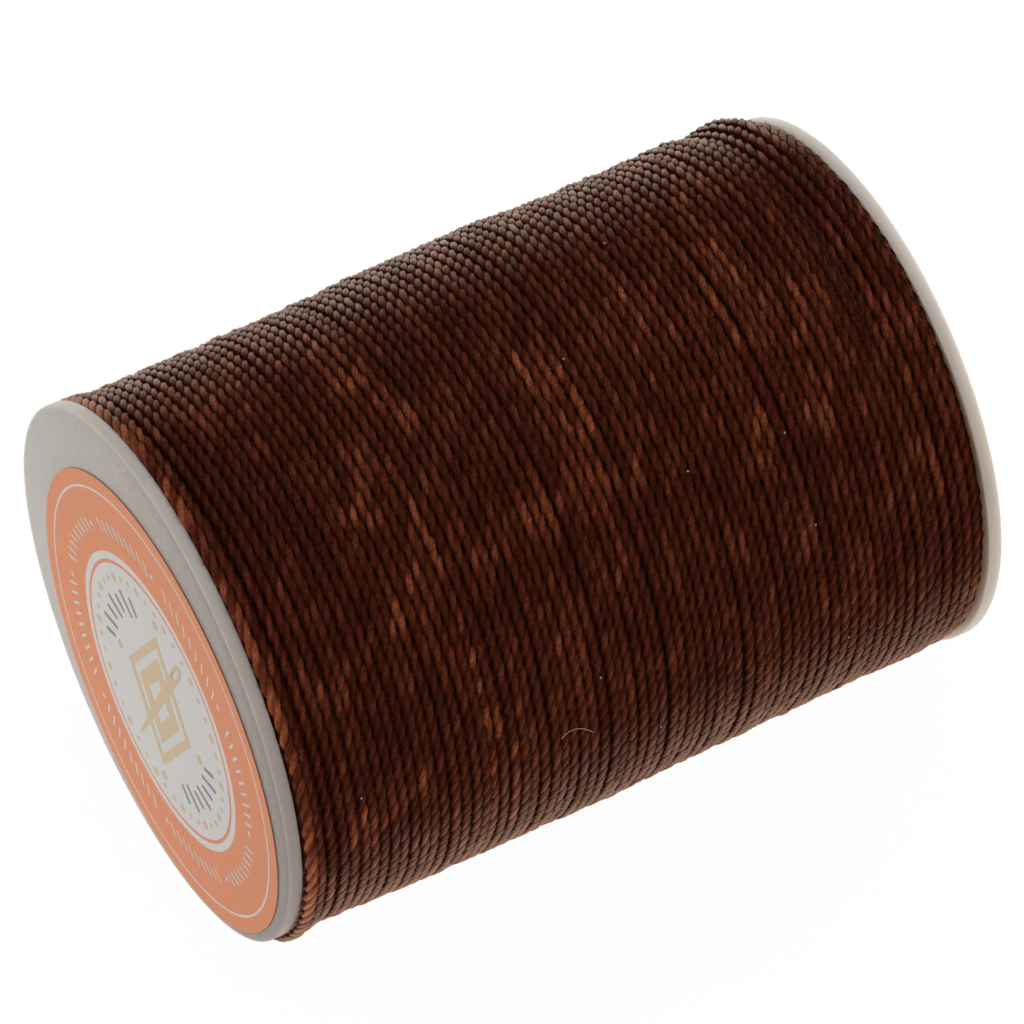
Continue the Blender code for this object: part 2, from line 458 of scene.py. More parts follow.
@dataclass(frozen=True)
class WaxedThread:
    """Dyed twisted thread under a thin coat of wax, with lighter stretches of dye.

    Wax shows only where the whole spool's surface is seen edge on, and there a painted sheen
    lightens the base colour towards a pale tan. A painted shade darkens the grooves and sides.
    """

    name: str = "waxed_thread"
    # Painted shade colour for the grooves between plies and down the thread's sides.
    painted_groove_shade: Colour = from_srgb(46, 18, 10)
    dark: Colour = from_srgb(71, 31, 18)
    middle: Colour = from_srgb(99, 44, 26)
    light: Colour = from_srgb(134, 68, 45)
    bright: Colour = from_srgb(176, 97, 64)
    # Painted sheen colour and its share, mixed into the base colour where the surface is seen edge
    # on.
    painted_sheen: Colour = from_srgb(204, 146, 110)
    painted_sheen_share: float = 0.40
    sheen_tint: Colour = (1.0, 0.7, 0.5)
    wax: float = 2.0
    wax_share: float = 0.08
    filaments: tuple[float, float, float] = (14.0, 21.0, 1.0)

    def build(self) -> bpy.types.Material:
        """Return the material. It reads the thread's tone, painted_crown_light and ridge
        attributes.
        """
        material, sheet, shader = new_material(self.name)
        tone, painted_crown_light, ridge = (
            sheet.add("ShaderNodeAttribute", attribute_name=name).outputs["Fac"]
            for name in ("tone", "painted_crown_light", "ridge")
        )
        lay = sheet.add("ShaderNodeUVMap", uv_map="lay").outputs["UV"]
        strands = sheet.noise(sheet.mapping(lay, scale=self.filaments), 1.0, 4.0)
        steps = ((0.0, 0.35, self.middle), (0.35, 0.7, self.light), (0.7, 1.0, self.bright))
        dyed = self.dark
        for low, high, colour in steps:
            dyed = sheet.mix(sheet.remap(tone, low, high, 0.0, 1.0), dyed, colour)
        # Painted shade: the strands' streaks and, where painted_crown_light falls, the grooves and
        # the thread's sides take the painted groove shade.
        streaked = sheet.mix(sheet.remap(strands, 0.42, 0.72, 0.0, 0.75), dyed, self.painted_groove_shade)
        groove_shaded = sheet.mix(painted_crown_light, self.painted_groove_shade, streaked)
        cloud = sheet.group(mottle(), Colour=groove_shaded, Scale=4200.0, Amount=1.7)
        outward = sheet.vector("NORMALIZE", sheet.mapping(sheet.place(), TO_AXIS, ACROSS_AXIS))
        weight = sheet.add("ShaderNodeLayerWeight", {"Blend": 0.5, "Normal": outward})
        edge_on = weight.outputs["Facing"]
        raised = sheet.remap(ridge, 0.15, 0.85, 0.0, 1.0)
        # Painted sheen: the base colour turns to the pale sheen colour on raised ply crowns seen
        # edge on.
        painted_sheen_mask = sheet.remap(edge_on, 0.4, 0.95, 0.0, self.painted_sheen_share)
        rise = sheet.maths("POWER", sheet.remap(edge_on, 0.35, 0.9, 0.0, 1.0), 2.0)
        share = sheet.maths("MULTIPLY_ADD", rise, self.wax, self.wax_share)
        inputs = {
            "Base Color": sheet.mix(sheet.maths("MULTIPLY", painted_sheen_mask, raised), cloud, self.painted_sheen),
            "Roughness": sheet.remap(strands, 0.3, 0.7, 0.30, 0.46),
            "Normal": sheet.bump(strands, 0.6, 0.05 * MM),
            "Specular IOR Level": sheet.maths("MULTIPLY", share, raised),
            "Specular Tint": self.sheen_tint,
        }
        sheet.feed(shader, inputs)
        return material


# Modelling helpers ------------------------------------------------------------------------


def deselect_all() -> None:
    """Leave edit mode and deselect every object."""
    if bpy.context.mode != "OBJECT":
        bpy.ops.object.mode_set(mode="OBJECT")
    bpy.ops.object.select_all(action="DESELECT")


def activate(piece: bpy.types.Object) -> None:
    """Make a piece the only selected and active object."""
    deselect_all()
    piece.select_set(True)
    bpy.context.view_layer.objects.active = piece


def select(piece: bpy.types.Object, wanted: Callable, kind: str = "FACE") -> None:
    """Select in edit mode only the faces or the edges that a test accepts.

    Args:
        piece: The active piece, in edit mode.
        wanted: A test that takes a bmesh face or edge.
        kind: FACE or EDGE.
    """
    bpy.ops.mesh.select_all(action="DESELECT")
    bpy.ops.mesh.select_mode(type=kind)
    shape = bmesh.from_edit_mesh(piece.data)
    for part in shape.faces if kind == "FACE" else shape.edges:
        part.select_set(bool(wanted(part)))
    bmesh.update_edit_mesh(piece.data)


def select_caps(piece: bpy.types.Object, *heights: float) -> None:
    """Select in edit mode only the round caps on the axis at some heights."""

    def is_cap(face: bmesh.types.BMFace) -> bool:
        """Tell whether a face is such a cap."""
        middle = face.calc_center_median().z
        return len(face.verts) > 8 and any(abs(middle - height) < TINY for height in heights)

    select(piece, is_cap)


def place_mesh(piece: bpy.types.Object, matrix: Matrix) -> None:
    """Move a piece's mesh from the bench to its place and clear the object's own place."""
    deselect_all()
    piece.data.transform(matrix @ piece.matrix_basis)
    piece.matrix_basis = Matrix.Identity(4)
    piece.data.update()


def model_disc(name: str, sides: int, radius: float, depth: float, middle: float = 0.0):
    """Model a plain disc on the bench and leave it active, in edit mode.

    Args:
        name: The piece's name.
        sides: The number of sides.
        radius: The radius.
        depth: The length along Z.
        middle: The height of the disc's middle.

    Returns:
        The disc.
    """
    deselect_all()
    bpy.ops.mesh.primitive_cylinder_add(
        vertices=sides, radius=radius, depth=depth, location=(0.0, 0.0, middle)
    )
    piece = bpy.context.active_object
    piece.name = name
    place_mesh(piece, Matrix.Identity(4))
    activate(piece)
    bpy.ops.object.mode_set(mode="EDIT")
    return piece


def model_ring(name: str, sides: int, outer: float, inner: float, length: float):
    """Model a plain tube on the bench, centred on the origin.

    Args:
        name: The piece's name.
        sides: The number of sides.
        outer: The outer radius.
        inner: The radius of the bore.
        length: The length along Z.

    Returns:
        The tube, in object mode.
    """
    piece = model_disc(name, sides, outer, length)
    ends = (-length / 2, length / 2)
    for height in ends:
        select_caps(piece, height)
        bpy.ops.mesh.inset(thickness=outer - inner)
    select_caps(piece, *ends)
    bpy.ops.mesh.bridge_edge_loops()
    deselect_all()
    return piece


def smooth(piece: bpy.types.Object, degrees: float = 35.0) -> None:
    """Shade a piece smooth up to an edge angle."""
    activate(piece)
    bpy.ops.object.shade_smooth_by_angle(angle=math.radians(degrees))


def dress(piece: bpy.types.Object, material: bpy.types.Material, slot: str, *nodes: str) -> None:
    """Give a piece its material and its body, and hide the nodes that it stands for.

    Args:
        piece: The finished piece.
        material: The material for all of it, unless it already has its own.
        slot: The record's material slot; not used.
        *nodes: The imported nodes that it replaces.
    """
    if not piece.data.materials:
        piece.data.materials.append(material)
    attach(piece, BODY)
    if nodes:
        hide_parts(*nodes)
    log.info("%s: %d faces", piece.name, len(piece.data.polygons))


def join(name: str, pieces: list[bpy.types.Object]) -> bpy.types.Object:
    """Join pieces into one object.

    Args:
        name: The name of the joined piece.
        pieces: The pieces, of which the first stays.

    Returns:
        The joined object.
    """
    deselect_all()
    for piece in pieces:
        piece.select_set(True)
    bpy.context.view_layer.objects.active = pieces[0]
    bpy.ops.object.join()
    pieces[0].name = name
    return pieces[0]


def link(name: str, data: bpy.types.ID) -> bpy.types.Object:
    """Add an object for a mesh, a curve, a camera or a lamp to the scene."""
    thing = bpy.data.objects.new(name, data)
    bpy.context.scene.collection.objects.link(thing)
    return thing


def aim(thing: bpy.types.Object, place: Vector, way: Vector) -> None:
    """Put a camera or a lamp at a place and turn it to look along a way."""
    thing.location = place
    thing.rotation_mode = "QUATERNION"
    thing.rotation_quaternion = way.to_track_quat("-Z", "Y")


# Spool ------------------------------------------------------------------------------------


@dataclass
class Flange:
    """A thin moulded disc with a faint lip at the rim and a spigot on its inner side."""

    side: Side
    segments: int = 256
    rim_radius: float = 0.13 * MM
    rim_segments: int = 4
    inner_edge: float = 0.08 * MM
    lip_width: float = 0.30 * MM
    lip_slope: float = 0.10 * MM
    lip_depth: float = 0.012 * MM
    hub_inset: float = 8.6 * MM
    hub_width: float = 0.25 * MM
    hub_depth: float = 0.10 * MM

    def build(self, plastic: bpy.types.Material) -> bpy.types.Object:
        """Model the flange on the bench, facing +Z, and put it at its end of the spool.

        Args:
            plastic: The flange's material.

        Returns:
            The finished flange.
        """
        name = self.side.name.lower() + "_flange"
        size = (SPOOL.flange_radius, SPOOL.flange_thickness, -SPOOL.flange_thickness / 2)
        piece = model_disc(name + "_moulding", self.segments, *size)
        self._turn_outer_face(piece)
        self._raise_spigot(piece)
        self._open_bore(piece)
        self._round_rim(piece)
        offset = SPOOL.front_face if self.side is Side.FRONT else SPOOL.rear_face
        place_mesh(piece, SPOOL.bench(self.side, offset))
        smooth(piece)
        dress(piece, plastic, "flange_plastic", name)
        return piece

    def _turn_outer_face(self, piece: bpy.types.Object) -> None:
        """Leave a faint lip at the rim and sink a recess round the hub."""
        select_caps(piece, 0.0)
        bpy.ops.mesh.inset(thickness=self.lip_width)
        bpy.ops.mesh.inset(thickness=self.lip_slope, depth=-self.lip_depth)
        bpy.ops.mesh.inset(thickness=self.hub_inset - self.lip_width - self.lip_slope)
        bpy.ops.mesh.inset(thickness=self.hub_width, depth=-self.hub_depth)

    def _raise_spigot(self, piece: bpy.types.Object) -> None:
        """Draw the spigot out of the inner face."""
        select_caps(piece, -SPOOL.flange_thickness)
        bpy.ops.mesh.inset(thickness=SPOOL.flange_radius - SPOOL.spigot_radius)
        reach = (0.0, 0.0, -SPOOL.spigot_length)
        bpy.ops.mesh.extrude_region_move(TRANSFORM_OT_translate={"value": reach})
        bpy.ops.mesh.inset(thickness=SPOOL.spigot_wall)

    def _open_bore(self, piece: bpy.types.Object) -> None:
        """Bring the outer face in to the bore and bridge it to the spigot's end."""
        spindle = SPOOL.spigot_radius - SPOOL.spigot_wall
        outer = -self.lip_depth - self.hub_depth
        hub = SPOOL.flange_radius - self.hub_inset - self.hub_width
        select_caps(piece, outer)
        bpy.ops.mesh.inset(thickness=hub - spindle)
        select_caps(piece, outer, -SPOOL.flange_thickness - SPOOL.spigot_length)
        bpy.ops.mesh.bridge_edge_loops()

    def _round_rim(self, piece: bpy.types.Object) -> None:
        """Round both edges of the rim."""

        def on_rim(edge: bmesh.types.BMEdge) -> bool:
            """Tell whether an edge runs round the rim at the height."""
            return all(
                abs(vert.co.z - height) < TINY
                and abs(vert.co.xy.length - SPOOL.flange_radius) < 10 * TINY
                for vert in edge.verts
            )

        for height, size in ((0.0, self.rim_radius), (-SPOOL.flange_thickness, self.inner_edge)):
            select(piece, on_rim, "EDGE")
            bpy.ops.mesh.bevel(offset=size, segments=self.rim_segments, affect="EDGES")


@dataclass
class Barrel:
    """The tube under the thread, which shows through the open spindle bore."""

    segments: int = 160
    edge: float = 0.2 * MM

    def build(self, plastic: bpy.types.Material) -> bpy.types.Object:
        """Model the tube on the bench and lay it along the axis.

        Args:
            plastic: The barrel's material.

        Returns:
            The finished tube.
        """
        start = SPOOL.front_inner + SPOOL.fit_gap
        end = SPOOL.rear_inner - SPOOL.fit_gap
        bore = SPOOL.barrel_radius - SPOOL.barrel_wall
        piece = model_ring("barrel_tube", self.segments, SPOOL.barrel_radius, bore, end - start)
        bevel = piece.modifiers.new("edge", "BEVEL")
        bevel.width = self.edge
        bevel.segments = 2
        bevel.limit_method = "ANGLE"
        bevel.angle_limit = math.radians(60)
        activate(piece)
        bpy.ops.object.modifier_apply(modifier=bevel.name)
        place_mesh(piece, SPOOL.bench(Side.REAR, (start + end) / 2))
        smooth(piece)
        dress(piece, plastic, "barrel_plastic", "spool_barrel")
        return piece


# Label ------------------------------------------------------------------------------------


@dataclass
class Label:
    """The round paper label, with printed rings, a ring of stitches and an emblem."""

    segments: int = 256
    seat_gap: float = 0.002 * MM
    ink_height: float = 0.010 * MM
    ink_step: float = 0.004 * MM
    line_radius: float = 12.47 * MM
    line_width: float = 0.13 * MM
    band_inner: float = 8.72 * MM
    white_ring: float = 0.46 * MM
    thin_ring: float = 0.22 * MM
    stitch_radius: float = 10.3 * MM
    stitch_groups: int = 8
    stitches_per_group: int = 9
    stitch_length: float = 0.95 * MM
    stitch_width: float = 0.17 * MM
    stitch_slant: float = math.radians(28)
    dot_size: float = 0.34 * MM
    lozenges: tuple[tuple[float, float, float], ...] = ((3.6, 5.4, 0.5), (2.3, 3.6, 0.95))
    needle_reach: float = 6.3
    needle_width: float = 0.42
    needle_angle: float = math.radians(64)
    corner_reach: tuple[float, float] = (4.6 * MM, 6.35 * MM)
    corner_size: float = 0.62 * MM
    beads: int = 42
    bead_ring: float = 7.2 * MM
    bead_size: float = 0.34 * MM
    big_bead_size: float = 0.56 * MM
    ticks: int = 7
    tick_ring: float = 5.7 * MM
    tick_starts: tuple[float, float] = (math.radians(118), math.radians(298))
    tick_step: float = math.radians(10.5)
    tick_lean: float = math.radians(20)
    tick_width: float = 0.30 * MM
    tick_lengths: tuple[float, float] = (1.2 * MM, 1.7 * MM)

    orange: MattFinish = MattFinish("orange_ink", from_srgb(200, 119, 73))
    white: MattFinish = MattFinish("label_paper", from_srgb(188, 193, 198), mottling=0.05)
    gold: MattFinish = MattFinish("gold_ink", from_srgb(176, 157, 120), 0.42)
    grey: MattFinish = MattFinish("grey_ink", from_srgb(112, 112, 116))

    def build(self) -> None:
        """Model the label and its print."""
        face = SPOOL.label_face + self.ink_height + self.ink_step
        up = SPOOL.label_height - SPOOL.axis_height
        matrix = SPOOL.bench(Side.FRONT, face, across=SPOOL.label_side, up=up)
        white = self.white.build()
        disc = self._disc(white, self.orange.build())
        place_mesh(disc, matrix)
        smooth(disc, 30)
        dress(disc, white, "label_paper", "front_label")
        prints = (
            (self._stitch_ring(), white),
            (self._emblem(), self.gold.build()),
            (self._tally(), self.grey.build()),
        )
        for piece, ink in prints:
            place_mesh(piece, matrix)
            dress(piece, ink, "label_paper")

    def _disc(self, white: bpy.types.Material, orange: bpy.types.Material) -> bpy.types.Object:
        """Model the paper disc and colour its printed rings and its cut edge."""
        paper = SPOOL.label_seat - self.ink_height - self.ink_step + self.seat_gap
        piece = model_disc("label_disc", self.segments, SPOOL.label_radius, paper, -paper / 2)
        line_outer = self.line_radius + self.line_width / 2
        line_inner = self.line_radius - self.line_width / 2
        white_inner = self.band_inner - self.white_ring
        thin_inner = white_inner - self.thin_ring
        select_caps(piece, 0.0)
        reached = SPOOL.label_radius
        for radius in (line_outer, line_inner, self.band_inner, white_inner, thin_inner):
            bpy.ops.mesh.inset(thickness=reached - radius)
            reached = radius
        deselect_all()
        piece.data.materials.append(white)
        piece.data.materials.append(orange)
        inked = (
            (line_outer, SPOOL.label_radius),
            (self.band_inner, line_inner),
            (thin_inner, white_inner),
        )
        for polygon in piece.data.polygons:
            middle = polygon.center.xy.length
            level = polygon.normal.z > 0.5 and len(polygon.vertices) == 4
            cut = abs(polygon.normal.z) < 0.5
            if cut or (level and any(low < middle < high for low, high in inked)):
                polygon.material_index = 1
        return piece

    def _stroke(self, length: float, width: float, place: tuple[float, float], angle: float):
        """Model one flat stroke of ink with rounded ends.

        Args:
            length: The stroke's length.
            width: The stroke's width.
            place: The stroke's middle on the label.
            angle: The direction of the stroke, in radians.

        Returns:
            The stroke.
        """
        piece = model_disc("stroke", 12, width / 2, self.ink_height)
        deselect_all()
        for vert in piece.data.vertices:
            vert.co.x += math.copysign((length - width) / 2, vert.co.x + 1e-9)
            vert.co.z += self.ink_height / 2
        turn = Matrix.Rotation(angle, 4, "Z")
        place_mesh(piece, Matrix.Translation((*place, 0.0)) @ turn)
        return piece

    def _stitch_ring(self) -> bpy.types.Object:
        """Model the ring of slanted stitches, in groups with a dot between each two."""
        strokes = []
        group = self.stitches_per_group + 2
        places = self.stitch_groups * group
        stitch = (self.stitch_length, self.stitch_width)
        for index in range(places):
            angle = 2 * math.pi * index / places
            middle = polar(self.stitch_radius, angle)
            if index % group == 0:
                strokes.append(self._stroke(self.dot_size, self.dot_size * 0.999, middle, angle))
            elif index % group != group - 1:
                strokes.append(self._stroke(*stitch, middle, angle + self.stitch_slant))
        return join("label_stitches", strokes)

    def _emblem(self) -> bpy.types.Object:
        """Model the emblem: a needle before two lozenges, in a frame of beads."""
        parts = [self._lozenge(*(size * MM for size in sizes)) for sizes in self.lozenges]
        parts.append(self._needle())
        for index in range(4):
            middle = polar(self.corner_reach[index % 2], index * math.pi / 2)
            parts.append(self._stroke(self.corner_size, 0.6 * MM, middle, 0.0))
        for index in range(self.beads):
            middle = polar(self.bead_ring, 2 * math.pi * (index + 0.5) / self.beads)
            size = self.bead_size if index % 3 else self.big_bead_size
            parts.append(self._stroke(size, size * 0.98, middle, 0.0))
        return join("label_emblem", parts)

    def _lozenge(self, half_wide: float, half_high: float, line: float) -> bpy.types.Object:
        """Model an open lozenge.

        Args:
            half_wide: Half the width.
            half_high: Half the height.
            line: The width of its line.

        Returns:
            The lozenge.
        """
        piece = model_disc("lozenge", 4, half_high, self.ink_height)
        bpy.ops.mesh.select_all(action="SELECT")
        bpy.ops.transform.resize(value=(half_wide / half_high, 1.0, 1.0))
        select(piece, lambda face: abs(face.normal.z) > 0.9)
        bpy.ops.mesh.inset(thickness=line, use_even_offset=True)
        bpy.ops.mesh.bridge_edge_loops()
        place_mesh(piece, Matrix.Translation((0.0, 0.0, self.ink_height / 2)))
        return piece

    def _needle(self) -> bpy.types.Object:
        """Model a needle, pointed at one end and with an open eye at the other."""
        piece = model_ring("needle", 48, 1.0 * MM, 0.45 * MM, self.ink_height)
        for vert in piece.data.vertices:
            along, across = vert.co.x / MM, vert.co.y / MM
            if vert.co.xy.length < 0.7 * MM:
                vert.co.x = (self.needle_reach - 1.3 + along * 1.5) * MM
                vert.co.y = across * self.needle_width * MM
            else:
                width = self.needle_width * max(0.0, (along + 1.0) / 2.0) ** 0.6
                vert.co.x = along * self.needle_reach * MM
                vert.co.y = math.copysign(min(width, abs(across)), across) * MM
        lift = Matrix.Translation((0.0, 0.0, self.ink_height / 2 + self.ink_step))
        place_mesh(piece, lift @ Matrix.Rotation(self.needle_angle, 4, "Z"))
        return piece

    def _tally(self) -> bpy.types.Object:
        """Model the dark stamp marks: slanted ticks on an arc at each end of the emblem."""
        strokes = []
        for start in self.tick_starts:
            for index in range(self.ticks):
                angle = start + index * self.tick_step
                size = (self.tick_lengths[index % 2], self.tick_width)
                middle = polar(self.tick_ring, angle)
                strokes.append(self._stroke(*size, middle, angle + self.tick_lean))
        return join("label_ticks", strokes)


# Thread -----------------------------------------------------------------------------------


class SmoothNoise:
    """Smooth seeded noise in one or two directions, between -1 and 1."""

    def __init__(self, seed: int, columns: int = 512, rows: int = 512) -> None:
        """Draw the table of values that the noise runs through."""
        self.table = np.random.default_rng(seed).uniform(-1.0, 1.0, (rows, columns))

    def line(self, place: np.ndarray, row: int = 0) -> np.ndarray:
        """Return the noise along one row, with a knot at each whole number."""
        return self.sheet(place, np.zeros_like(place) + row)

    def sheet(self, across: np.ndarray, up: np.ndarray) -> np.ndarray:
        """Return the noise over a plane.

        Args:
            across: The first coordinate.
            up: The second coordinate.

        Returns:
            The noise at each point.
        """
        rows, columns = self.table.shape
        column = np.floor(across).astype(int)
        row = np.floor(up).astype(int)
        ease_x, ease_y = ease(across - column), ease(up - row)
        left, right = column % columns, (column + 1) % columns
        low, high = row % rows, (row + 1) % rows
        bottom = self.table[low, left] * (1 - ease_x) + self.table[low, right] * ease_x
        top = self.table[high, left] * (1 - ease_x) + self.table[high, right] * ease_x
        return bottom * (1 - ease_y) + top * ease_y


@dataclass(frozen=True)
class Wander:
    """A stretch where some turns leave their even lay, sideways and up or down.

    Angles are in degrees, from the horizontal at the back, over the top (90) and the
    front (180). The stretch is eased over a ramp at both ends.
    """

    first_turn: int
    last_turn: int
    start: float
    end: float
    ramp: float
    shift: float
    lift: float

    def amount(self, turn: np.ndarray, degrees: np.ndarray) -> np.ndarray:
        """Return how far the stretch applies at each place, from 0 to 1.

        Args:
            turn: The number of turns wound before each place.
            degrees: The angle of each place, from 0 to 360.

        Returns:
            The share at each place.
        """
        if self.start < 0:
            degrees = np.where(degrees > 180, degrees - 360, degrees)
        rise = np.clip((degrees - self.start) / self.ramp, 0.0, 1.0)
        fall = np.clip((self.end - degrees) / self.ramp, 0.0, 1.0)
        near = (turn >= self.first_turn) & (turn < self.last_turn + 1)
        return ease(np.minimum(rise, fall)) * near


@dataclass(frozen=True)
class DyePatch:
    """A patch of lighter or darker dye on the wound surface, in millimetres and degrees.

    The slope is how many degrees the patch climbs for each millimetre along the axis.
    """

    along: float
    angle: float
    half_along: float
    half_angle: float
    strength: float
    slope: float = 0.0

    def amount(self, along: np.ndarray, degrees: np.ndarray) -> np.ndarray:
        """Return the patch's strength at each place."""
        across = along / MM - self.along
        up = degrees - self.angle - self.slope * across
        spread = np.abs(across / self.half_along) ** 4 + np.abs(up / self.half_angle) ** 2
        return self.strength * np.exp(-spread)


@dataclass(frozen=True)
class Profile:
    """How far the winding stands proud of the flanges, at stations along the axis."""

    stations: tuple[float, ...] = (-21.0, -19.5, -17, -13, -6, 0, 4, 8, 12, 14, 17, 18.1, 19.6, 21)
    upper: tuple[float, ...] = (
        0.05, -0.10, -0.12, 0.0, 0.12, 0.36, 0.46, 0.40, 0.46, 0.54, 0.64, 0.36, 0.78, 0.12,
    )
    lower: tuple[float, ...] = (
        0.44, 0.16, 0.26, 0.36, 0.33, 0.26, 0.22, 0.08, 0.0, 0.02, 0.02, 0.0, -0.10, -0.34,
    )
    upper_angle: float = math.radians(37)

    def proud(self, along: np.ndarray, angle: np.ndarray) -> np.ndarray:
        """Return how far the winding stands proud at each place and angle, in metres."""
        stations = np.array(self.stations) * MM
        upper = np.interp(along, stations, np.array(self.upper) * MM)
        lower = np.interp(along, stations, np.array(self.lower) * MM)
        return (upper + lower) / 2 + (upper - lower) / 2 * np.cos(angle - self.upper_angle)


@dataclass
class ThreadLayer:
    """One layer of twisted thread, wound as one line from the front flange to the rear."""

    name: str
    turns: int = 69
    spare_turns: int = 1
    phase: float = 0.0
    half_pitch: float = 0.30 * MM
    half_width: float = 0.41 * MM
    half_height: float = 0.29 * MM
    twist_length: float = 2.95 * MM
    twist_drift: float = 0.16
    drift_length: float = 3.2 * MM
    ply_sizes: tuple[float, float, float] = (1.04, 0.95, 1.01)
    rings_per_twist: int = 12
    ply_angles: tuple[float, ...] = (-60.0, -42.0, -22.0, 0.0, 22.0, 42.0)
    groove_share: float = 0.71
    # Where the painted light from the front flange starts on the thread, and how it fades.
    flange_side: float = -20.45 * MM
    flange_side_fade: float = 0.3 * MM
    lobe_length: float = 1.3 * MM
    lobe_swing: float = 0.10
    sink: float = 0.0
    bands: int = 6
    wiggle: float = 0.055 * MM
    heave: float = 0.05 * MM
    bunching: float = 0.12 * MM
    swell: float = 0.06 * MM
    tuck: float = 0.38 * MM
    floor_gap: float = 0.05 * MM
    tone_base: float = 0.30
    tone_swing: float = 0.30
    tone_spots: float = 0.46
    seed: int = 11
    wanders: tuple[Wander, ...] = ()
    patches: tuple[DyePatch, ...] = ()
    profile: Profile = Profile()

    def build(self, material: bpy.types.Material, slot: str, node: str) -> None:
        """Wind the layer and cut it into bands.

        Args:
            material: The thread's material.
            slot: The record's material slot.
            node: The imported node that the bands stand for.
        """
        length, along, angle = self._unroll()
        centre, outward = self._route(along, angle)
        tone = self._tone(length, along, angle)
        edges = np.linspace(0, len(length) - 1, self.bands + 1).astype(int)
        for index in range(self.bands):
            part = slice(edges[index], edges[index + 1] + 1)
            data = (length[part], centre[part], outward[part], tone[part])
            dress(self._loft(f"{self.name}_{index + 1}", *data), material, slot, node)

    def _unroll(self) -> tuple[np.ndarray, np.ndarray, np.ndarray]:
        """Return the length, the place along X and the angle of every ring of the thread.

        The spare turns run past both ends, where the route presses them on the flanges.
        """
        around = 2 * math.pi * (SPOOL.flange_radius - self.half_height - self.sink)
        total = around * (self.turns + 2 * self.spare_turns)
        count = int(total / self.twist_length * self.rings_per_twist)
        length = np.linspace(0.0, total, count)
        wound = length / around - self.spare_turns
        start = SPOOL.front_inner + self.half_width
        end = SPOOL.rear_inner - self.half_width
        along = start + (end - start) * wound / self.turns
        return length, along, 2 * math.pi * (wound + self.phase)

    def _route(self, along: np.ndarray, angle: np.ndarray) -> tuple[np.ndarray, np.ndarray]:
        """Return the centre of every ring and its outward direction.

        The spare turns are tucked under their neighbours, and nothing goes below the floor.
        """
        noise = SmoothNoise(self.seed)
        turn = angle / (2 * math.pi)
        degrees = np.degrees(angle) % 360
        side = self.wiggle * noise.line(turn * 3.1, 3) + 0.4 * self.wiggle * noise.line(turn * 9, 5)
        side += self.bunching * noise.sheet(turn / 1.9, degrees / 55 + 200)
        lift = self.heave * noise.line(turn * 2.3, 11) + 0.5 * self.heave * noise.line(turn, 17)
        lift += self.swell * noise.sheet(along / (2.6 * MM), degrees / 40 + 40)
        past = np.maximum(self.phase - turn, turn - self.phase - self.turns)
        lift -= self.tuck * np.clip((past - 0.30) / 0.12, 0.0, 1.0)
        for wander in self.wanders:
            amount = wander.amount(turn, degrees)
            side += wander.shift * amount
            lift += wander.lift * amount
        margin = self.half_width * 0.88
        placed = np.clip(along + side, SPOOL.front_inner + margin, SPOOL.rear_inner - margin)
        proud = self.profile.proud(along, angle) + lift
        radius = SPOOL.flange_radius + proud - self.half_height - self.sink
        down = -np.sin(angle)
        rest = SPOOL.axis_height - self.floor_gap - self.half_height - self.sink
        radius = np.minimum(radius, np.where(down > 0.2, rest / np.maximum(down, 0.2), np.inf))
        nought = np.zeros_like(angle)
        outward = np.stack([nought, np.cos(angle), np.sin(angle)], axis=1)
        axis = np.stack([placed, nought, nought + SPOOL.axis_height], axis=1)
        return axis + outward * radius[:, None], outward

    def _tone(self, length: np.ndarray, along: np.ndarray, angle: np.ndarray) -> np.ndarray:
        """Return the dye's tone of each of the three plies at every ring, from 0 to 1."""
        noise = SmoothNoise(self.seed + 7)
        degrees = np.degrees(angle) % 360
        drift = degrees / 14 + along / MM * 0.08
        clusters = noise.sheet(along / (3.0 * MM), drift)
        fine = noise.sheet(along / (0.8 * MM), drift * 1.7 + 90)
        amounts = [patch.amount(along, degrees) for patch in self.patches]
        patches = np.max([np.zeros_like(along), *amounts], axis=0)
        shades = np.min([np.zeros_like(along), *amounts], axis=0)
        thread = noise.line(length / (7.0 * MM), 150)
        field_tone = 0.16 * clusters + 0.12 * fine + 0.12 * thread
        plies = []
        for ply in range(3):
            own = noise.line(length / (1.9 * MM), 200 + 31 * ply)
            spot = np.clip(own + 0.8 * clusters + 0.5 * fine - 0.9, 0.0, 1.0)
            lobe = np.clip(0.85 + 0.5 * own + 0.2 * fine, 0.25, 1.2)
            tone = self.tone_base + field_tone + self.tone_swing * own + self.tone_spots * spot
            plies.append(np.clip(tone + patches * lobe + shades, 0.0, 1.0))
        return np.stack(plies, axis=1)

    def _section(self) -> tuple[np.ndarray, np.ndarray, np.ndarray, np.ndarray]:
        """Return the angles, radii, plies and ridge shares of the points round a section."""
        offsets = np.radians(np.array(self.ply_angles))
        centre = 1.0 / (1.0 + math.sqrt(3) / 2)
        small = centre * math.sqrt(3) / 2
        reach = np.sqrt(np.maximum(small**2 - (centre * np.sin(offsets)) ** 2, 0.0))
        radii = np.maximum(centre * np.cos(offsets) + reach, self.groove_share)
        angles = np.concatenate([offsets + 2 * math.pi * ply / 3 for ply in range(3)])
        plies = np.repeat(np.arange(3), len(offsets))
        sizes = np.array(self.ply_sizes)[plies]
        return angles, np.tile(radii, 3) * sizes, plies, np.tile(np.cos(1.5 * offsets), 3)

